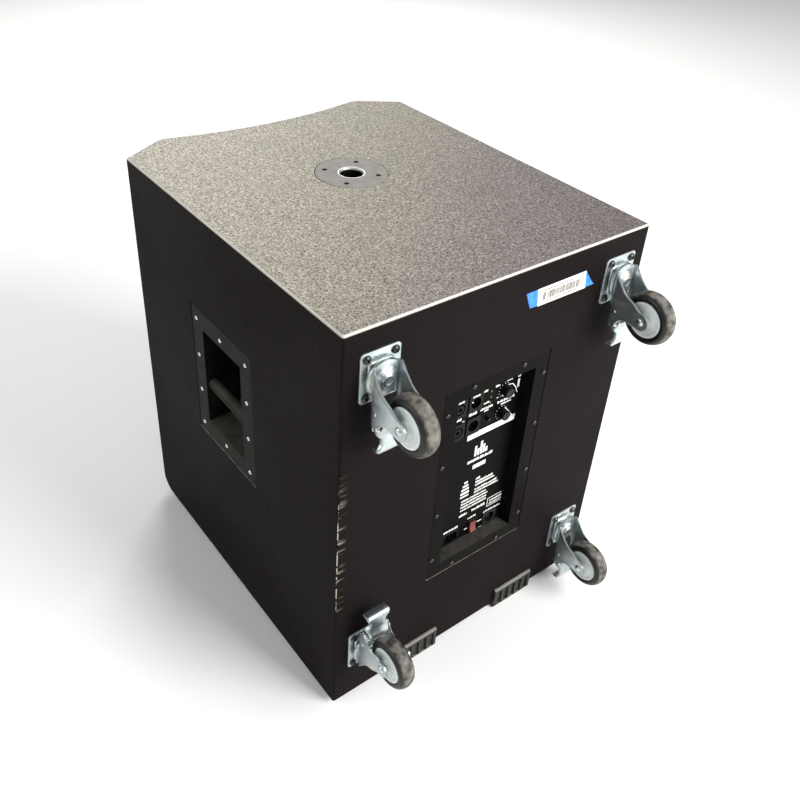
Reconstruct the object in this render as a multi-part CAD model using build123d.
from build123d import *
import math
import os

# Powered 18 inch subwoofer cabinet, stored upright, with four braked swivel casters on its rear.
# Millimetres.  +Z is up, the grille faces -Y and the amplifier and casters face +Y.
# The origin is on the floor, under the centre of the whole object.

# cabinet
cabinet_width = 535.0
cabinet_height = 680.0
side_depth = 586.0
board = 18.0
edge_radius = 4.0
foot_height = 10.0
toe_radius = 30.0
peak_x = 190.0
peak_reach = 47.0
dip_reach = 23.0
peak_fillet = 32.0

# front grille
grille_inset = 1.0
grille_sheet = 1.5
foam_thickness = 7.5
skin_gap = 0.1
lip_height = 25.0
lip_depth = 20.0
grille_screw_angles = (-11.5, -4.0, 4.0, 11.5)
grille_screw_length = 14.0
grille_gap = 0.3
foam_gap = 1.0

# woofer
woofer_flange_radius = 231.0
woofer_cutout_radius = 209.0
woofer_height = 402.0
woofer_bolt_circle = 220.0
woofer_screw_count = 8
port_height = 80.0
port_length = 300.0
port_half_width = 232.0
woofer_screw_head = 5.0
woofer_screw_head_height = 3.4
woofer_screw_shank = 2.5
woofer_screw_length = 22.0
flange_inner_radius = 206.0
flange_thickness = 8.0
flange_gap = 0.1
basket_windows = 8
basket_back = (96.0, 56.0, -124.0, -118.0)
window_low = (-26.0, 118.0, -118.0)
window_high = (26.0, 190.0, -2.0)
front_plate = (92.0, 54.0, -136.0, -124.1)
magnet = (108.0, 60.0, -161.0, -136.0)
back_plate = (92.0, -173.0, -161.0)
pole_piece = (48.0, -161.0, -124.1)
vent_radius = 14.0
voice_coil = (52.0, 50.0, -144.0, -96.1)
surround_inner = 186.0
surround_outer = 201.8
surround_margin = 1.2
spider_rings = 6
spider_inner = 52.9
spider_outer = 89.0
spider_height = -111.0
spider_wave = 1.4
spider_thickness = 0.9
brace_gap = 30.0
brace_rim = 50.0
brace_windows = ((0.08, 0.46), (0.54, 0.92))

# woofer outlines as (radius, height above the baffle)
basket_rim_outline = ((202, 0.1), (206.1, 0.1), (206.1, 8), (202, 8))
basket_cone_outline = ((202, 8), (208, 8), (208, -12), (96, -118), (90, -118), (90, -112), (202, -8))
cone_outline = ((52.3, -96), (185.5, -8), (185.5, -5), (183.5, -5), (50.8, -93), (50.8, -96))
dust_cap_outline = ((0, -70), (30, -72), (58, -85.5), (60, -86.6), (58.6, -87.4), (30, -74), (0, -72))

# pole socket
pole_bore_radius = 18.0
pole_bore_length = 100.0
pole_wall = 3.0
pole_plate_radius = 57.0
pole_plate_thickness = 3.0
pole_plate_proud = 0.5
pole_screw_radius = 42.0
pole_from_rear = 364.0
pole_plate_chamfer = 1.0
pole_lead_in = 3.0
fit_gap = 0.5

# side handles
handle_from_rear = 307.0
handle_height = 398.0
handle_width = 177.0
handle_tall = 238.0
handle_sheet = 2.5
handle_rebate = 3.0
handle_opening_width = 113.0
handle_opening_tall = 174.0
handle_cup_depth = 72.0
handle_floor_flat = 38.0
grip_radius = 9.5
grip_depth = 12.5
grip_height = 380.5
handle_screw_pitch_y = 73.3
handle_screw_pitch_z = 67.0
handle_corner = 5.0
cup_lower_slope = 36.0
cup_upper_slope = 26.0
cup_upper_start = 48.0
cup_skew = 0.3

# amplifier
amp_height = 345.0
amp_width = 196.0
amp_tall = 360.0
amp_sheet = 2.5
amp_rebate = 3.0
amp_cutout_width = 168.0
amp_cutout_tall = 334.0
tray_width = 146.0
tray_tall = 315.0
tray_depth = 20.0
tray_sheet = 2.0
tray_side_slope = 6.0
tray_top_slope = 8.0
tray_bottom_slope = 4.0
amp_side_screw_heights = (487.0, 393.0, 299.0, 205.0)
amp_side_screw_x = 91.0
amp_end_screw_heights = (518.0, 172.0)
amp_end_screw_x = 47.0
amp_corner = 4.0

# controls and sockets on the tray floor, as (x, height above the cabinet's underside)
input_spots = ((50.0, 466.0), (50.0, 424.0))
output_spots = ((20.0, 466.0), (20.0, 424.0))
level_knob_spot = (-36.0, 466.0)
crossover_knob_spot = (-36.0, 424.0)
phase_button_spot = (-9.0, 424.0)
light_spots = ((-9.0, 474.0), (-9.0, 464.0), (-9.0, 454.0))
inlet_spot = (38.0, 206.0)
rocker_spot = (-8.0, 206.0)
outlet_spot = (-44.0, 206.0)

# sockets and controls
socket_flange = (26.0, 31.0, 3.0)
socket_flange_thickness = 1.5
socket_body_radius = 11.4
socket_body_depth = 22.0
jack_radius = 3.25
jack_depth = 16.0
contact_groove = (9.6, 7.2, -3.0, 5.0)
output_recess_radius = 9.3
output_recess_depth = 14.0
pin_circle = 4.6
pin_radius = 1.2
knob_radius = 8.0
knob_low = 1.0
knob_high = 12.5
knob_flutes = 12
flute_circle = 8.6
flute_radius = 1.3
knob_shaft = 3.3
button_radius = 3.2
button_height = 4.5
light_outline = ((0, -8), (1.95, -8), (1.95, 0.6), (1.2, 1.5), (0, 1.8))
inlet_flange = (34.0, 26.0, 2.0)
inlet_flange_thickness = 1.8
inlet_half_width = 14.4
inlet_half_height = 10.4
inlet_body_depth = 26.0
inlet_recess = (24.4, 16.4, 3.0)
inlet_recess_depth = 16.0
blade_spots = ((-7, 1.5), (0, -2.5), (7, 1.5))
outlet_flange = (28.0, 28.0, 4.0)
outlet_flange_thickness = 2.0
outlet_body_radius = 11.9
outlet_recess_radius = 9.8
outlet_core_radius = 3.4
rocker_frame = (19.0, 28.0, 2.0)
rocker_frame_thickness = 1.6
rocker_half_width = 6.0
rocker_tilt = 8.0
rocker_outline = ((-9.6, -1.0), (-9.6, 3.4), (0, 1.6), (9.6, 3.4), (9.6, -1.0), (4, -7), (-4, -7))
cutter_low = -40.0
cutter_high = -10.0
hole_gap = 0.2

# amplifier behind the panel
heatsink_width = 104.0
heatsink_low = -40.0
heatsink_high = 75.0
heatsink_base = 8.0
heatsink_depth = 45.0
heatsink_fins = 14
fin_half = 1.2
board_drop = 56.0
board_half = (64.0, 140.0)
board_thickness = 1.6
transformer_spot = (0.0, 62.0)
transformer_radii = (52.0, 14.0)
transformer_height = 43.4
capacitor_x = (-40.0, -5.0)
capacitor_y = (-110.0, -70.0)
capacitor_radius = 15.0
capacitor_height = 50.4
part_gap = 1.6

# casters
caster_height = 110.0
caster_x = 213.5
caster_heights = {"top": 609.0, "bottom": 103.5}
caster_plate_width = 60.0
caster_plate_tall = 74.0
caster_plate_thickness = 2.5
caster_bolt_x = 21.0
caster_bolt_z = 28.0
wheel_radius = 40.0
wheel_trail = 32.5
tyre_width = 27.0
tyre_inner_radius = 27.0
tread_rise = 9.0
rim_inset = 1.5
web_inset = 1.0
boss_radius = 9.0
boss_foot_radius = 10.5
web_radius = 22.0
rim_foot_radius = 24.0
hub_width = 33.0
axle_radius = 5.0
running_gap = 0.05
leg_gap = 35.0
leg_sheet = 2.5
race_radius = 21.0
ball_radius = 2.5
ball_count = 18
race_height = 5.5
crown_radius = 26.0
crown_thickness = 3.0
king_pin_radius = 6.0
pedal_pivot = (57.0, 24.0)
pedal_pin_radius = 2.5
pedal_wall = 1.8
pedal_side_gap = 0.6
caster_plate_corner = 6.0
caster_bolt_head = 6.4
caster_bolt_height = 4.2
caster_bolt_shank = 4.0
caster_bolt_round = 2.2
caster_bolt_key = 5.0
axle_head = 14.0
axle_head_height = 5.0
axle_nut_height = 6.5
axle_tail = 10.0
leg_corner = 2.5
skirt_drop = 2.4
race_outline = ((13, 2.0), (28, 2.0), (26, 5.5), (15, 5.5))
# stepped dome of the king rivet as (radius, height above the crown)
rivet_steps = ((16.5, 0), (16.5, 1.5), (14.5, 4.0), (10.0, 5.0), (9.0, 6.5), (0, 7.2))
# side view of the brake pedal and its hollow, measured from its pivot
pedal_outline = (
    (-5, -4),
    (-6, 2),
    (-2.8, 10.6),
    (2, 9.5),
    (12, 6),
    (40, 7),
    (40, -6),
    (14, -7),
    (0, -5),
)
pedal_hollow = ((-20, -30), (-20, 4), (-4.0, 7.6), (1.6, 7.6), (12, 4.1), (38.2, 5.1), (38.2, -30))

# feet
skid_inner_x = 66.0
skid_outer_x = 150.0
skid_rise = 32.0
skid_depth = 44.0
skid_proud = 5.0
skid_slots = 5
round_foot_radius = 19.0
round_foot_x = 205.0
round_foot_from_front = 75.0
foot_fillet = 2.5
foot_screw_seat = 4.0
foot_well_radius = 6.0
skid_screw_step = 24.0
skid_screw_back = 0.7
skid_edge = 4.0
skid_chamfer = 2.5
slot_depth = 3.0
slot_low = 3.0
slot_top_margin = 7.0
slot_half_share = 0.33

# screws
screw_gap = 0.1
screw_seat_gap = 0.3
screw_length = 16.0
screw_shank = 2.0
blind_end = 4.0
pan_head = 4.0
pan_head_height = 2.4
cross_length = 4.4
cross_width = 0.9
countersunk_head = 4.2
countersunk_cross_depth = 1.2
countersunk_drop = 0.1
panel_screw_head = 3.6
panel_screw_height = 2.0
panel_screw_length = 14.0
foot_screw_length = 20.0

# a length beyond every part, for cutters
far = 1000.0

floor_z = -tray_depth
back_z = floor_z - tray_sheet
half_width = cabinet_width / 2
inner_half_width = half_width - board
base = foot_height
top = foot_height + cabinet_height


def front_outline_at_origin():
    """Plan of the cabinet with its rear face on y = 0: bevelled corners and a hollow middle."""
    front = -side_depth
    arc = ThreePointArc(
        (peak_x, front - peak_reach), (0, front - dip_reach), (-peak_x, front - peak_reach)
    )
    sides = Polyline(
        (-peak_x, front - peak_reach),
        (-half_width, front),
        (-half_width, 0),
        (half_width, 0),
        (half_width, front),
        (peak_x, front - peak_reach),
    )
    face = make_face(sides + arc)
    peaks = [v for v in face.vertices() if v.Y < front - dip_reach]
    return fillet(peaks, peak_fillet)


plan = front_outline_at_origin()
front_reach = -plan.bounding_box().min.Y - side_depth
rear_y = (front_reach + side_depth + caster_height) / 2 - caster_height
front_y = rear_y - side_depth
baffle_y = front_y + lip_depth
arc_rise = peak_reach - dip_reach
arc_radius = (peak_x**2 + arc_rise**2) / (2 * arc_rise)
arc_centre_y = front_y - dip_reach - arc_radius


def plan_face(inset=0.0, z=0.0):
    shape = plan if inset == 0 else offset(plan, amount=-inset, kind=Kind.INTERSECTION)
    return Pos(0, rear_y, z) * shape


def block(low, high):
    """A box between two opposite corners."""
    size = [b - a for a, b in zip(low, high)]
    centre = [(a + b) / 2 for a, b in zip(low, high)]
    return Pos(*centre) * Box(*size)


def plan_slab(low_z, high_z, inset=0.0):
    return extrude(plan_face(inset, low_z), high_z - low_z)


def facing_front(x, y, z):
    """Local +Z points forward (-Y) and local +Y points up."""
    return Location((x, y, z), (90, 0, 0))


def facing_rear(x, y, z):
    """Local +Z points backward (+Y) and local +Y points down."""
    return Location((x, y, z), (-90, 0, 0))


def facing_right(y, z, x=half_width):
    """Local +Z points to +X, local +X points down and local +Y stays."""
    return Location((x, y, z), (0, 90, 0))


def tube(outer, inner, low, high):
    ring = Circle(outer) - Circle(inner)
    return Pos(0, 0, low) * extrude(ring, high - low)


def rod(radius, low, high):
    return Pos(0, 0, low) * extrude(Circle(radius), high - low)


def hexagon(across_flats, low, high):
    shape = RegularPolygon(across_flats / 2, 6, major_radius=False)
    return Pos(0, 0, low) * extrude(shape, high - low)


def turned(points):
    """A solid of revolution about Z from a closed (radius, height) outline."""
    outline = make_face(Polyline(*points, close=True))
    return revolve(Plane.XZ * outline, Axis.Z)


def pan_screw(head_radius=pan_head, head_height=pan_head_height, shank_radius=screw_shank, length=screw_length):
    """Pan head screw whose head rests on z = 0 and whose shank points to -Z."""
    head = rod(head_radius, 0, head_height)
    head = fillet(head.edges().sort_by(Axis.Z)[-1], head_height * 0.6)
    shank = rod(shank_radius, -length, 0)
    slot_depth = head_height * 0.5
    reach, half = cross_length / 2, cross_width / 2
    cross = block((-reach, -half, head_height - slot_depth), (reach, half, head_height + 1))
    cross += Rot(0, 0, 90) * cross
    return head + shank - cross


def panel_screw():
    """Pan head screw of the handles and the amplifier panel."""
    return pan_screw(panel_screw_head, panel_screw_height, screw_shank, panel_screw_length)


def countersunk_screw(length=screw_length):
    """Countersunk screw whose head is flush with z = 0."""
    head, shank = countersunk_head, screw_shank
    body = turned(((0, -length), (shank, -length), (shank, shank - head), (head, 0), (0, 0)))
    reach, half = cross_length / 2, cross_width / 2
    cross = block((-reach, -half, -countersunk_cross_depth), (reach, half, 1))
    cross += Rot(0, 0, 90) * cross
    return body - cross


def countersunk_seat():
    """Hole that takes a countersunk screw's head flush with z = 0."""
    head = countersunk_head + screw_gap
    hole = screw_shank + screw_seat_gap
    low = -3 * pole_plate_thickness
    return turned(((0, low), (hole, low), (hole, hole - head), (head, 0), (head, 1), (0, 1)))


def pilot(radius, length=screw_length, above=6.0):
    return rod(radius, -length - 1, above)


# places of repeated fasteners
def handle_screw_spots():
    """(y, z) of the ten screws round one handle."""
    y = rear_y - handle_from_rear
    z = base + handle_height
    spots = []
    for row in (-1.5, -0.5, 0.5, 1.5):
        columns = (-1, 0, 1) if abs(row) > 1 else (-1, 1)
        for column in columns:
            spots.append((y + column * handle_screw_pitch_y, z + row * handle_screw_pitch_z))
    return spots


def amp_screw_spots():
    sides = [(s * amp_side_screw_x, base + h) for s in (-1, 1) for h in amp_side_screw_heights]
    ends = [(s * amp_end_screw_x, base + h) for s in (-1, 1) for h in amp_end_screw_heights]
    return sides + ends


def caster_spots():
    """Name, x, z and turn about the swivel axis of each caster; the lower right one trails upward."""
    spots = []
    for level in ("top", "bottom"):
        for side, sign in (("left", -1), ("right", 1)):
            turn = 180 if (level, side) == ("bottom", "right") else 0
            spots.append((f"{level}_{side}", sign * caster_x, base + caster_heights[level], turn))
    return spots


def caster_bolt_spots():
    return [
        (x + sx * caster_bolt_x, z + sz * caster_bolt_z)
        for _, x, z, _ in caster_spots()
        for sx in (-1, 1)
        for sz in (-1, 1)
    ]


def grille_screw_locations():
    """Screw seats on the hollow part of the grille, square to its surface."""
    radius = arc_radius + grille_inset
    places = []
    for z in (base + toe_radius + lip_height * 0.7, top - board - lip_height * 0.55):
        for angle in grille_screw_angles:
            turn = math.radians(angle)
            x = radius * math.sin(turn)
            y = arc_centre_y + radius * math.cos(turn)
            places.append(Location((x, y, z), (0, 0, -angle)) * Rot(90, 0, 0))
    return places


def pole_screw_spots():
    y = rear_y - pole_from_rear
    turns = [math.radians(45 + 90 * i) for i in range(4)]
    return [(pole_screw_radius * math.cos(a), y + pole_screw_radius * math.sin(a)) for a in turns]


def woofer_screw_spots():
    turns = [math.radians(22.5 + 45 * i) for i in range(woofer_screw_count)]
    return [(woofer_bolt_circle * math.cos(a), woofer_bolt_circle * math.sin(a)) for a in turns]


# wooden cabinet
def envelope():
    """Outer form of the closed cabinet with its rounded toe and softened edges."""
    upper = plan_slab(base + toe_radius, top)
    toe = block((-half_width, front_y, base), (half_width, rear_y, base + toe_radius))
    front_edge = toe.edges().filter_by(Axis.X).group_by(Axis.Z)[0].sort_by(Axis.Y)[0]
    toe = fillet(front_edge, toe_radius - 0.01)
    body = upper + toe
    rear_uprights = [
        e for e in body.edges().filter_by(Axis.Z) if abs(e.center().Y - rear_y) < 1
    ]
    body = fillet(rear_uprights, edge_radius)
    body = fillet(body.faces().sort_by(Axis.Z)[-1].edges(), edge_radius)
    return body


def grille_lip(low_z, high_z):
    """Curved strip of ply behind the grille's edge."""
    strip = plan_slab(low_z, high_z, grille_inset + grille_sheet + skin_gap)
    return strip & block((-inner_half_width, -far, low_z), (inner_half_width, baffle_y, high_z))


def top_panel(body):
    panel = body & block((-half_width, -far, top - board), (half_width, rear_y, top))
    panel += grille_lip(top - board - lip_height, top - board)
    y = rear_y - pole_from_rear
    seat = Pos(0, y, top - pole_plate_thickness + pole_plate_proud)
    panel -= seat * rod(pole_plate_radius + fit_gap, 0, 2 * pole_plate_thickness)
    panel -= Pos(0, y, 0) * rod(pole_bore_radius + pole_wall + fit_gap, top - 2 * board, top + 1)
    for x, y_screw in pole_screw_spots():
        panel -= Pos(x, y_screw, top + pole_plate_proud) * pilot(screw_shank + screw_gap)
    for place in grille_screw_locations():
        panel -= place * pilot(screw_shank + screw_gap)
    return panel


def bottom_panel(body):
    panel = body & block((-half_width, -far, base), (half_width, rear_y, base + board))
    ledge = base + toe_radius + grille_inset
    panel += body & block((-inner_half_width, -far, base + board), (inner_half_width, baffle_y, ledge))
    panel += grille_lip(ledge, ledge + lip_height)
    for place in grille_screw_locations():
        panel -= place * pilot(screw_shank + screw_gap)
    for x, y in round_foot_spots() + skid_screw_spots():
        panel -= Pos(x, y, base) * Rot(180, 0, 0) * pilot(screw_shank + screw_gap, board - blind_end)
    return panel


def side_panel(body):
    """The +X side; the other side is its mirror image."""
    low, high = base + board, top - board
    panel = body & block((inner_half_width, -far, low), (half_width, rear_y, high))
    y = rear_y - handle_from_rear
    z = base + handle_height
    hole_y = handle_opening_width / 2 + handle_sheet + 1
    hole_z = handle_opening_tall / 2 + handle_sheet + 1
    panel -= block((0, y - hole_y, z - hole_z), (half_width + 1, y + hole_y, z + hole_z))
    seat_y = handle_width / 2 + 1
    seat_z = handle_tall / 2 + 1
    seat_x = half_width - handle_rebate
    panel -= block((seat_x, y - seat_y, z - seat_z), (half_width + 1, y + seat_y, z + seat_z))
    for spot in handle_screw_spots():
        panel -= facing_right(*spot) * pilot(screw_shank + screw_gap, board - blind_end)
    return panel


def rear_panel():
    low, high = base + board, top - board
    panel = block((-inner_half_width, rear_y - board, low), (inner_half_width, rear_y, high))
    z = base + amp_height
    cut_x, cut_z = amp_cutout_width / 2, amp_cutout_tall / 2
    panel -= block((-cut_x, 0, z - cut_z), (cut_x, far, z + cut_z))
    seat_x = amp_width / 2 + 1
    seat_z = amp_tall / 2 + 1
    panel -= block((-seat_x, rear_y - amp_rebate, z - seat_z), (seat_x, rear_y + 1, z + seat_z))
    for x, z_screw in amp_screw_spots():
        panel -= facing_rear(x, rear_y, z_screw) * pilot(screw_shank + screw_gap, board - blind_end)
    for x, z_bolt in caster_bolt_spots():
        panel -= facing_rear(x, rear_y, z_bolt) * pilot(caster_bolt_shank + screw_gap, board + 1)
    return panel


def front_baffle():
    low, high = base + board, top - board
    panel = block((-inner_half_width, baffle_y, low), (inner_half_width, baffle_y + board, high))
    place = facing_front(0, baffle_y, base + woofer_height)
    panel -= place * rod(woofer_cutout_radius, -board - 1, 1)
    for x, y in woofer_screw_spots():
        panel -= place * Pos(x, y, 0) * pilot(woofer_screw_shank + screw_gap, board - 2)
    for sign in (-1, 1):
        near, far = sorted((sign * board / 2, sign * port_half_width))
        panel -= block((near, baffle_y - 1, low), (far, baffle_y + board + 1, low + port_height))
    return panel


def inner_boards():
    """Port shelf and divider behind the baffle, and a window brace across the middle."""
    low = base + board
    y0 = baffle_y + board
    y1 = y0 + port_length
    shelf_z = low + port_height
    shelf = block((-inner_half_width, y0, shelf_z), (inner_half_width, y1, shelf_z + board))
    divider = block((-board / 2, y0, low), (board / 2, y1, shelf_z))
    brace_y = y1 + brace_gap
    brace = block((-inner_half_width, brace_y, low), (inner_half_width, brace_y + board, top - board))
    tall = cabinet_height - 2 * board
    reach = inner_half_width - brace_rim
    for start, end in brace_windows:
        near = (-reach, brace_y - 1, low + tall * start)
        brace -= block(near, (reach, brace_y + board + 1, low + tall * end))
    return [shelf, divider, brace]


# grille
def front_grille():
    low = base + toe_radius + grille_inset + grille_gap
    high = top - board - grille_gap
    sheet = plan_slab(low, high, grille_inset) - plan_slab(low, high, grille_inset + grille_sheet)
    sheet &= block((-inner_half_width + grille_gap, -far, low), (inner_half_width - grille_gap, front_y, high))
    for place in grille_screw_locations():
        sheet -= place * rod(screw_shank + 2 * screw_gap, -6, 6)
    return sheet


def grille_foam():
    low = base + toe_radius + grille_inset + lip_height + foam_gap
    high = top - board - lip_height - foam_gap
    outer = grille_inset + grille_sheet + grille_gap
    sheet = plan_slab(low, high, outer) - plan_slab(low, high, outer + foam_thickness)
    reach = inner_half_width - foam_gap
    return sheet & block((-reach, -far, low), (reach, front_y + 2, high))


def grille_screws():
    screw = Pos(0, 0, screw_gap) * pan_screw(length=grille_screw_length)
    return [place * screw for place in grille_screw_locations()]


# woofer, built facing +Z on the baffle
def woofer_basket():
    ring = tube(woofer_flange_radius, flange_inner_radius, flange_gap, flange_thickness)
    frame = ring + turned(basket_rim_outline) + turned(basket_cone_outline) + tube(*basket_back)
    window = block(window_low, window_high)
    for i in range(basket_windows):
        frame -= Rot(0, 0, 360 / basket_windows * i) * window
    for x, y in woofer_screw_spots():
        frame -= Pos(x, y, 0) * rod(woofer_screw_shank + screw_seat_gap, -1, flange_thickness + 1)
    return frame


def woofer_motor():
    """Front plate, ring magnet and back plate with its pole piece."""
    vent = rod(vent_radius, -200, 0)
    return [tube(*front_plate), tube(*magnet), rod(*back_plate) + rod(*pole_piece) - vent]


def woofer_cone():
    """Paper cone with its dust cap, free to move inside the surround."""
    return [turned(cone_outline), turned(dust_cap_outline)]


def woofer_voice_coil():
    return tube(*voice_coil)


def woofer_surround():
    """Half roll between the cone's edge and the basket's flange."""
    inner, outer = surround_inner, surround_outer
    middle = (inner + outer) / 2
    roll = (outer - inner) / 2 - surround_margin
    return turned(
        (
            (inner, -8),
            (middle, -2.5),
            (outer, -8),
            (outer, -6),
            (middle + roll, 0.5),
            (middle, 2.5),
            (middle - roll, 0.5),
            (inner, -6),
        )
    )


def woofer_spider():
    """Corrugated centring disc round the voice coil."""
    step = (spider_outer - spider_inner) / (2 * spider_rings)
    upper = []
    for i in range(2 * spider_rings + 1):
        upper.append((spider_inner + i * step, spider_height + (spider_wave if i % 2 else 0)))
    lower = [(r, z - spider_thickness) for r, z in reversed(upper)]
    return turned(upper + lower)


def woofer_screws():
    screw = pan_screw(woofer_screw_head, woofer_screw_head_height, woofer_screw_shank, woofer_screw_length)
    return [Pos(x, y, flange_thickness + flange_gap) * screw for x, y in woofer_screw_spots()]


def on_baffle(shape):
    place = facing_front(0, baffle_y, base + woofer_height)
    if isinstance(shape, list):
        return [place * piece for piece in shape]
    return place * shape


# pole socket
def pole_socket():
    """Top hat socket for a 35 mm pole: flanged plate over a blind tube."""
    plate = rod(pole_plate_radius, -pole_plate_thickness, 0)
    plate = chamfer(plate.edges().sort_by(Axis.Z)[-1], pole_plate_chamfer)
    cup = rod(pole_bore_radius + pole_wall, -pole_bore_length - pole_wall, -pole_plate_thickness)
    bore = rod(pole_bore_radius, -pole_bore_length, 5)
    wide = pole_bore_radius + pole_lead_in
    lead_in = turned(((0, 1), (wide, 1), (pole_bore_radius, 1 - pole_lead_in), (0, 1 - pole_lead_in)))
    body = plate + cup - bore - lead_in
    y = rear_y - pole_from_rear
    for x, y_screw in pole_screw_spots():
        body -= Pos(x, y_screw - y, 0) * countersunk_seat()
    return Pos(0, y, top + pole_plate_proud) * body


def pole_socket_screws():
    z = top + pole_plate_proud - countersunk_drop
    return [Pos(x, y, z) * countersunk_screw() for x, y in pole_screw_spots()]


# side handle
def handle_cup_profile(grow=0.0):
    """Section of the cup: x is the depth below the side panel, y the height above its centre."""
    half = handle_opening_tall / 2
    deep = handle_cup_depth + grow
    points = (
        (-1 if grow == 0 else handle_sheet, -half - grow),
        (handle_floor_flat, -half + 1 - grow),
        (deep, -half + cup_lower_slope - grow * cup_skew),
        (deep, half - cup_upper_slope + grow * cup_skew),
        (cup_upper_start, half + grow),
        (-1 if grow == 0 else handle_sheet, half + grow),
    )
    return make_face(Polyline(*points, close=True))


def side_handle():
    """Moulded recessed handle with a round grip across its mouth, in the +X panel."""
    y = rear_y - handle_from_rear
    z = base + handle_height
    face_x = half_width - handle_rebate + handle_sheet
    plate = block(
        (face_x - handle_sheet, y - handle_width / 2, z - handle_tall / 2),
        (face_x, y + handle_width / 2, z + handle_tall / 2),
    )
    plate = fillet(plate.edges().filter_by(Axis.X), handle_corner)
    section = Plane(origin=(face_x, y, z), x_dir=(-1, 0, 0), z_dir=(0, 1, 0))
    half = handle_opening_width / 2
    cavity = extrude(section * handle_cup_profile(), half, both=True)
    shell = extrude(section * handle_cup_profile(handle_sheet), half + handle_sheet, both=True)
    body = plate + shell - cavity
    grip = Location((face_x - grip_depth, y, base + grip_height), (90, 0, 0)) * Cylinder(
        grip_radius, 2 * half + handle_sheet
    )
    body += grip
    for spot in handle_screw_spots():
        body -= facing_right(*spot, x=face_x) * rod(screw_shank + screw_seat_gap, -8, 2)
    return body


def handle_screws():
    """Ten pan head screws for each handle."""
    face_x = half_width - handle_rebate + handle_sheet
    right = [facing_right(*spot, x=face_x) * panel_screw() for spot in handle_screw_spots()]
    left = [mirror(screw, about=Plane.YZ) for screw in right]
    return right + left


# amplifier, built facing +Z with +Y down
def amp_local(x, height):
    """A spot on the amplifier in its own plane."""
    return x, amp_height - height


def tray_block(grow, top_z):
    """Tapered block: the tray's hollow, or its outer skin when grown."""
    rim = Rectangle(tray_width + 2 * grow, tray_tall + 2 * grow)
    floor_low = tray_tall / 2 - tray_bottom_slope
    floor_high = -tray_tall / 2 + tray_top_slope
    floor = Rectangle(
        tray_width - 2 * tray_side_slope + 2 * grow, floor_low - floor_high + 2 * grow
    )
    floor = Pos(0, (floor_low + floor_high) / 2, -tray_depth - grow) * floor
    body = loft([Pos(0, 0, 0) * rim, floor])
    if top_z > 0:
        body += extrude(rim, top_z)
    return body


def socket_cutters():
    """Holes through the tray floor for everything mounted in it."""
    cutters = []
    for spot in input_spots + output_spots:
        x, y = amp_local(*spot)
        cutters.append(Pos(x, y, 0) * rod(socket_body_radius + hole_gap, cutter_low, cutter_high))
    for spot in (level_knob_spot, crossover_knob_spot):
        x, y = amp_local(*spot)
        cutters.append(Pos(x, y, 0) * rod(knob_shaft + screw_seat_gap, cutter_low, cutter_high))
    x, y = amp_local(*phase_button_spot)
    cutters.append(Pos(x, y, 0) * rod(button_radius + hole_gap, cutter_low, cutter_high))
    for spot in light_spots:
        x, y = amp_local(*spot)
        cutters.append(Pos(x, y, 0) * rod(light_outline[1][0] + screw_gap, cutter_low, cutter_high))
    x, y = amp_local(*inlet_spot)
    cut_x = inlet_half_width + hole_gap
    cut_y = inlet_half_height + hole_gap
    cutters.append(block((x - cut_x, y - cut_y, cutter_low), (x + cut_x, y + cut_y, cutter_high)))
    x, y = amp_local(*rocker_spot)
    cut_x = rocker_half_width + 1.2
    cut_y = -rocker_outline[0][0] + 1.6
    cutters.append(block((x - cut_x, y - cut_y, cutter_low), (x + cut_x, y + cut_y, cutter_high)))
    x, y = amp_local(*outlet_spot)
    cutters.append(Pos(x, y, 0) * rod(outlet_body_radius + hole_gap, cutter_low, cutter_high))
    return cutters


def amp_panel():
    """Pressed steel panel: a flange in the rear panel's rebate and a sunk tray for the controls."""
    flange = extrude(Rectangle(amp_width, amp_tall), -amp_sheet)
    flange = fillet(flange.edges().filter_by(Axis.Z), amp_corner)
    body = flange + tray_block(tray_sheet, 0) - tray_block(0, 2)
    x, y = amp_local(*rocker_spot)
    body += Pos(x, y, floor_z) * extrude(RectangleRounded(*rocker_frame), rocker_frame_thickness)
    for cutter in socket_cutters():
        body -= cutter
    for x, z in amp_screw_spots():
        body -= Pos(x, base + amp_height - z, 0) * rod(screw_shank + screw_seat_gap, -6, 2)
    return body


def on_amp(shape):
    place = facing_rear(0, rear_y - amp_rebate + amp_sheet, base + amp_height)
    if isinstance(shape, list):
        return [place * piece for piece in shape]
    return place * shape


def amp_screws():
    screws = []
    for x, z in amp_screw_spots():
        screws.append(Pos(x, base + amp_height - z, 0) * panel_screw())
    return screws


def socket_body():
    """Flanged round body shared by the inputs and outputs."""
    flange = extrude(RectangleRounded(*socket_flange), socket_flange_thickness)
    return flange + rod(socket_body_radius, -socket_body_depth, 0)


def signal_sockets():
    """Two combination inputs with a jack bore, and two recessed three pin outputs."""
    pieces = []
    for spot in input_spots:
        x, y = amp_local(*spot)
        body = socket_body() - rod(jack_radius, -jack_depth, 5) - tube(*contact_groove)
        pieces.append(Pos(x, y, floor_z + screw_gap) * body)
    for spot in output_spots:
        x, y = amp_local(*spot)
        body = socket_body() - rod(output_recess_radius, -output_recess_depth, 5)
        for angle in (0, 90, 180):
            turn = math.radians(angle)
            spot = Pos(pin_circle * math.cos(turn), pin_circle * math.sin(turn), 0)
            body += spot * rod(pin_radius, -output_recess_depth, -2)
        pieces.append(Pos(x, y, floor_z + screw_gap) * body)
    return pieces


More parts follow.
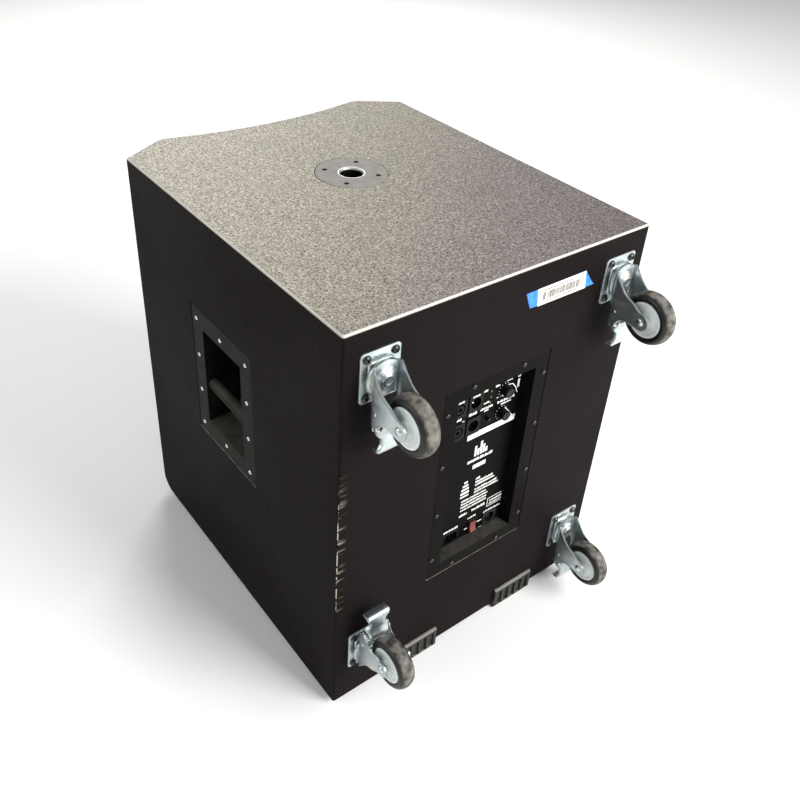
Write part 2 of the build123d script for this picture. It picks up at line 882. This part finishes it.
def control_knob(spot):
    """Fluted knob on a round shaft."""
    x, y = amp_local(*spot)
    body = rod(knob_radius, knob_low, knob_high)
    body = fillet(body.edges().sort_by(Axis.Z)[-1], 1.2)
    for i in range(knob_flutes):
        body -= Rot(0, 0, 360 / knob_flutes * i) * Pos(flute_circle, 0, 0) * rod(flute_radius, 3, knob_high + 1)
    pointer_start = -knob_radius + 0.5
    body -= block((-0.6, pointer_start, knob_high - 0.5), (0.6, pointer_start + 6, knob_high + 1))
    body += rod(knob_shaft, -12, knob_low)
    return Pos(x, y, floor_z) * body


def push_button():
    x, y = amp_local(*phase_button_spot)
    body = rod(button_radius, -10, button_height)
    body = fillet(body.edges().sort_by(Axis.Z)[-1], 0.8)
    return Pos(x, y, floor_z) * body


def status_lights():
    lights = []
    for spot in light_spots:
        x, y = amp_local(*spot)
        lights.append(Pos(x, y, floor_z) * turned(light_outline))
    return lights


def mains_inlet():
    """Three blade appliance inlet with a flange and a recess for the plug."""
    x, y = amp_local(*inlet_spot)
    body = extrude(RectangleRounded(*inlet_flange), inlet_flange_thickness)
    body += extrude(Rectangle(2 * inlet_half_width, 2 * inlet_half_height), -inlet_body_depth)
    recess = extrude(RectangleRounded(*inlet_recess), inlet_recess_depth + 5)
    body -= Pos(0, 0, -inlet_recess_depth) * recess
    for px, py in blade_spots:
        body += block((px - 1, py - 2, -inlet_recess_depth - 0.5), (px + 1, py + 2, -1))
    return Pos(x, y, floor_z + screw_gap) * body


def mains_outlet():
    """Round locking mains outlet with a key slot each side of its core."""
    x, y = amp_local(*outlet_spot)
    body = extrude(RectangleRounded(*outlet_flange), outlet_flange_thickness)
    body += rod(outlet_body_radius, -inlet_body_depth, 0)
    body -= rod(outlet_recess_radius, -15, 5)
    body += rod(outlet_core_radius, -15.5, -1)
    return Pos(x, y, floor_z + screw_gap) * body


def power_rocker():
    """Rocker with a shallow valley on top, rocked to its off side."""
    x, y = amp_local(*rocker_spot)
    side = make_face(Plane.YZ * Polyline(*rocker_outline, close=True))
    body = extrude(side, rocker_half_width, both=True)
    return Pos(x, y, floor_z + 1.0) * Rot(rocker_tilt, 0, 0) * body


def amp_heatsink():
    """Finned extrusion on the back of the tray."""
    half = heatsink_width / 2
    root = back_z - heatsink_base
    body = block((-half, heatsink_low, root), (half, heatsink_high, back_z - screw_gap))
    pitch = (heatsink_width - 4) / (heatsink_fins - 1)
    for i in range(heatsink_fins):
        x = -half + 2 + i * pitch
        near = (x - fin_half, heatsink_low, back_z - heatsink_depth)
        body += block(near, (x + fin_half, heatsink_high, root))
    return body


def amp_electronics():
    """Main board with a toroidal transformer and four capacitors on it."""
    board_z = back_z - board_drop
    half_x, half_y = board_half
    main_board = block((-half_x, -half_y, board_z - board_thickness), (half_x, half_y, board_z))
    outer, inner = transformer_radii
    ring = extrude(Circle(outer) - Circle(inner), transformer_height)
    pieces = [main_board, Pos(*transformer_spot, board_z - transformer_height - part_gap) * ring]
    can = extrude(Circle(capacitor_radius), capacitor_height)
    for x in capacitor_x:
        for y in capacitor_y:
            pieces.append(Pos(x, y, board_z - capacitor_height - part_gap) * can)
    return pieces


# feet
def round_foot_spots():
    y = front_y + round_foot_from_front
    return [(-round_foot_x, y), (round_foot_x, y)]


def round_feet():
    feet = []
    for x, y in round_foot_spots():
        foot = rod(round_foot_radius, 0, foot_height)
        foot = fillet(foot.edges().sort_by(Axis.Z)[0], foot_fillet)
        foot -= rod(foot_well_radius, -1, foot_screw_seat)
        foot -= rod(screw_shank + screw_seat_gap, 0, foot_height + 1)
        feet.append(Pos(x, y, 0) * foot)
    return feet


def skid_screw_spots():
    middle = (skid_inner_x + skid_outer_x) / 2
    y = rear_y - skid_depth * skid_screw_back
    return [(s * (middle + d), y) for s in (-1, 1) for d in (-skid_screw_step, skid_screw_step)]


def skid_feet():
    """Ribbed skids that wrap the lower rear edge, two of them."""
    feet = []
    width = skid_outer_x - skid_inner_x
    pitch = width / (skid_slots + 0.4)
    for sign in (-1, 1):
        centre = sign * (skid_inner_x + width / 2)
        sole = block((-width / 2, rear_y - skid_depth, 0), (width / 2, rear_y + skid_proud, base))
        heel = block((-width / 2, rear_y, base), (width / 2, rear_y + skid_proud, base + skid_rise))
        foot = sole + heel
        lower = foot.edges().filter_by(Axis.X).sort_by(Axis.Y)
        lower = [e for e in lower if e.center().Z < 1]
        foot = fillet(lower[-1], skid_edge)
        upper = [e for e in foot.edges().filter_by(Axis.X) if e.center().Z > base + skid_rise - 1]
        foot = chamfer(max(upper, key=lambda e: e.center().Y), skid_chamfer)
        for i in range(skid_slots):
            x = (i - (skid_slots - 1) / 2) * pitch
            reach = pitch * slot_half_share
            slot_y = rear_y + skid_proud - slot_depth
            foot -= block((x - reach, slot_y, slot_low), (x + reach, far, base + skid_rise - slot_top_margin))
        foot = Pos(centre, 0, 0) * foot
        for x, y in skid_screw_spots():
            well = rod(pan_head + 4 * screw_gap, -1, foot_screw_seat)
            foot -= Pos(x, y, 0) * (well + rod(screw_shank + screw_seat_gap, 3, base + 1))
        feet.append(foot)
    return feet


def foot_screws():
    screws = []
    for x, y in round_foot_spots() + skid_screw_spots():
        screws.append(Pos(x, y, foot_screw_seat) * Rot(180, 0, 0) * pan_screw(length=foot_screw_length))
    return screws


# caster
# Built with its plate on z = 0, +Z away from the cabinet, +Y the way the wheel trails, +X the axle.
wheel_axis_z = caster_height - wheel_radius
crown_low = race_height + 2 * ball_radius + running_gap
crown_high = crown_low + crown_thickness


def caster_plate():
    outline = RectangleRounded(caster_plate_width, caster_plate_tall, caster_plate_corner)
    body = extrude(outline, caster_plate_thickness) + turned(race_outline) - rod(king_pin_radius, -1, 10)
    for x in (-caster_bolt_x, caster_bolt_x):
        for y in (-caster_bolt_z, caster_bolt_z):
            body -= Pos(x, y, 0) * rod(caster_bolt_shank + screw_seat_gap, -1, 4)
    return body


def caster_king_rivet():
    """Rivet that holds the fork: a shank through plate and crown under a stepped dome."""
    low = crown_high + screw_gap
    shank = ((0, screw_gap), (king_pin_radius, screw_gap), (king_pin_radius, low))
    dome = tuple((radius, low + rise) for radius, rise in rivet_steps)
    return turned(shank + dome)


def caster_balls():
    balls = []
    for i in range(ball_count):
        turn = math.radians(i * 360 / ball_count)
        spot = (race_radius * math.cos(turn), race_radius * math.sin(turn), race_height + ball_radius)
        balls.append(Pos(*spot) * Sphere(ball_radius))
    return balls


def caster_bolt():
    head = rod(caster_bolt_head, screw_gap, caster_bolt_height)
    head = fillet(head.edges().sort_by(Axis.Z)[-1], caster_bolt_round)
    return head + rod(caster_bolt_shank, -board - 3, screw_gap) - hexagon(caster_bolt_key, 2.0, 6)


def leg_outline():
    """Side view of a fork leg, from the crown down to the axle with a tab for the brake pedal."""
    axle_y, axle_z = wheel_trail, wheel_axis_z
    eye = 12.0
    points = (
        (-24, crown_low),
        (-22, crown_high + 4),
        (-7, 28),
        (4, 40),
        (8.5, 53),
        (axle_y - eye, axle_z - 4),
        (axle_y - eye + 3, axle_z + 9),
        (axle_y, axle_z + eye + 1),
        (axle_y + eye - 2, axle_z + 9),
        (axle_y + eye + 1, axle_z - 4),
        (46, 54),
        (45, 43),
        (52, 34),
        (63, 29),
        (65, 22),
        (60, 17.5),
        (36, 15.5),
        (24, crown_low),
    )
    face = make_face(Polyline(*points, close=True))
    return fillet([v for v in face.vertices() if v.Y > crown_low + 1], leg_corner)


def caster_fork():
    """Pressed fork: round crown with a skirt over the balls, and two legs."""
    side = Plane.YZ * leg_outline()
    outer = extrude(side, leg_gap / 2 + leg_sheet, both=True)
    inside = block((-leg_gap / 2, -200, crown_high), (leg_gap / 2, 200, 200))
    below = block((-leg_gap / 2, crown_radius - 3, 0), (leg_gap / 2, 200, 200))
    crown = rod(crown_radius, crown_low, crown_high)
    crown = fillet(crown.edges().sort_by(Axis.Z)[-1], crown_thickness / 2)
    skirt = tube(crown_radius, race_radius + ball_radius + fit_gap, race_height + skirt_drop, crown_low)
    body = outer - inside - below + crown + skirt
    body -= rod(king_pin_radius + running_gap, 0, 40)
    body -= Pos(0, wheel_trail, wheel_axis_z) * Rot(0, 90, 0) * Cylinder(axle_radius + running_gap, 100)
    body -= Pos(0, *pedal_pivot) * Rot(0, 90, 0) * Cylinder(pedal_pin_radius + running_gap, 100)
    return body


def caster_axle():
    """Hexagon head bolt and nut through both legs, with a plain sleeve length for the hub."""
    half = leg_gap / 2 + leg_sheet
    bolt = rod(axle_radius, -half - axle_tail, half) + hexagon(axle_head, half, half + axle_head_height)
    nut = hexagon(axle_head, -half - axle_nut_height, -half) - rod(axle_radius, -60, 60)
    body = bolt + nut
    return Pos(0, wheel_trail, wheel_axis_z) * Rot(0, 90, 0) * body


def caster_hub():
    """Moulded wheel centre with a boss each side and a dished web."""
    half = hub_width / 2
    rim = tyre_width / 2 - rim_inset
    body = turned(
        (
            (axle_radius + running_gap, -half),
            (boss_radius, -half),
            (boss_foot_radius, -rim + web_inset),
            (web_radius, -rim + web_inset),
            (rim_foot_radius, -rim),
            (tyre_inner_radius, -rim),
            (tyre_inner_radius, rim),
            (rim_foot_radius, rim),
            (web_radius, rim - web_inset),
            (boss_foot_radius, rim - web_inset),
            (boss_radius, half),
            (axle_radius + running_gap, half),
        )
    )
    return Pos(0, wheel_trail, wheel_axis_z) * Rot(0, 90, 0) * body


def caster_tyre():
    """Rubber tread with rounded shoulders, bonded to the hub."""
    half = tyre_width / 2
    shoulder = wheel_radius - tread_rise
    bead = half - rim_inset
    sides = Polyline((shoulder, half), (tyre_inner_radius, bead), (tyre_inner_radius, -bead), (shoulder, -half))
    outline = sides + ThreePointArc((shoulder, -half), (wheel_radius, 0), (shoulder, half))
    body = revolve(Plane.XZ * make_face(outline), Axis.Z)
    return Pos(0, wheel_trail, wheel_axis_z) * Rot(0, 90, 0) * body


def caster_pedal():
    """Pressed brake pedal: a channel with a turned-down toe, on a pin through both legs."""
    pivot_y, pivot_z = pedal_pivot
    inner = leg_gap / 2 - pedal_side_gap
    side = make_face(Plane.YZ * Polyline(*pedal_outline, close=True))
    hollow = make_face(Plane.YZ * Polyline(*pedal_hollow, close=True))
    body = extrude(side, inner, both=True) - extrude(hollow, inner - pedal_wall, both=True)
    pin_half = leg_gap / 2 + leg_sheet + 1.2
    pin = Rot(0, 90, 0) * Cylinder(pedal_pin_radius, 2 * pin_half)
    return Pos(0, pivot_y, pivot_z) * (body + pin)


def place_caster(x, z, turn, shape):
    place = facing_rear(x, rear_y, z) * Rot(0, 0, turn)
    if isinstance(shape, list):
        return [place * piece for piece in shape]
    return place * shape


# writing
def write(name, shape):
    """Write one sub-part; a list becomes a group of separate solids."""
    if isinstance(shape, list):
        shape = Compound(children=shape)
    export_step(shape, f"parts/{name}.step")


def write_cabinet():
    body = envelope()
    right_side = side_panel(body)
    write("top_panel", top_panel(body))
    write("bottom_panel", bottom_panel(body))
    write("right_side_panel", right_side)
    write("left_side_panel", mirror(right_side, about=Plane.YZ))
    write("rear_panel", rear_panel())
    write("front_baffle", front_baffle())
    write("inner_boards", inner_boards())


def write_front():
    write("front_grille", front_grille())
    write("grille_foam", grille_foam())
    write("grille_screws", grille_screws())
    for make in (
        woofer_basket,
        woofer_motor,
        woofer_cone,
        woofer_voice_coil,
        woofer_surround,
        woofer_spider,
        woofer_screws,
    ):
        write(make.__name__, on_baffle(make()))


def write_fittings():
    write("pole_socket", pole_socket())
    write("pole_socket_screws", pole_socket_screws())
    handle = side_handle()
    write("right_handle", handle)
    write("left_handle", mirror(handle, about=Plane.YZ))
    write("panel_screws", handle_screws() + on_amp(amp_screws()))
    write("skid_feet", skid_feet())
    write("round_feet", round_feet())
    write("foot_screws", foot_screws())


def write_amplifier():
    for make in (
        amp_panel,
        amp_heatsink,
        amp_electronics,
        signal_sockets,
        status_lights,
        mains_inlet,
        mains_outlet,
        power_rocker,
    ):
        write(make.__name__, on_amp(make()))
    write("level_knob", on_amp(control_knob(level_knob_spot)))
    write("crossover_knob", on_amp(control_knob(crossover_knob_spot)))
    write("phase_button", on_amp(push_button()))


def write_casters():
    plates, rivets, balls, bolts = [], [], [], []
    for name, x, z, turn in caster_spots():
        plates.append(place_caster(x, z, 0, caster_plate()))
        rivets.append(place_caster(x, z, 0, caster_king_rivet()))
        balls.extend(place_caster(x, z, 0, caster_balls()))
        write(f"fork_{name}", place_caster(x, z, turn, caster_fork()))
        write(f"axle_{name}", place_caster(x, z, turn, caster_axle()))
        write(f"hub_{name}", place_caster(x, z, turn, caster_hub()))
        write(f"tyre_{name}", place_caster(x, z, turn, caster_tyre()))
        write(f"pedal_{name}", place_caster(x, z, turn, caster_pedal()))
    for x, z in caster_bolt_spots():
        bolts.append(facing_rear(x, rear_y + caster_plate_thickness, z) * caster_bolt())
    write("caster_plates", plates)
    write("caster_king_rivets", rivets)
    write("caster_balls", balls)
    write("caster_bolts", bolts)


os.makedirs("parts", exist_ok=True)
write_cabinet()
write_front()
write_fittings()
write_amplifier()
write_casters()
print("rear face y", round(rear_y, 5), "front reach", round(front_reach, 5))
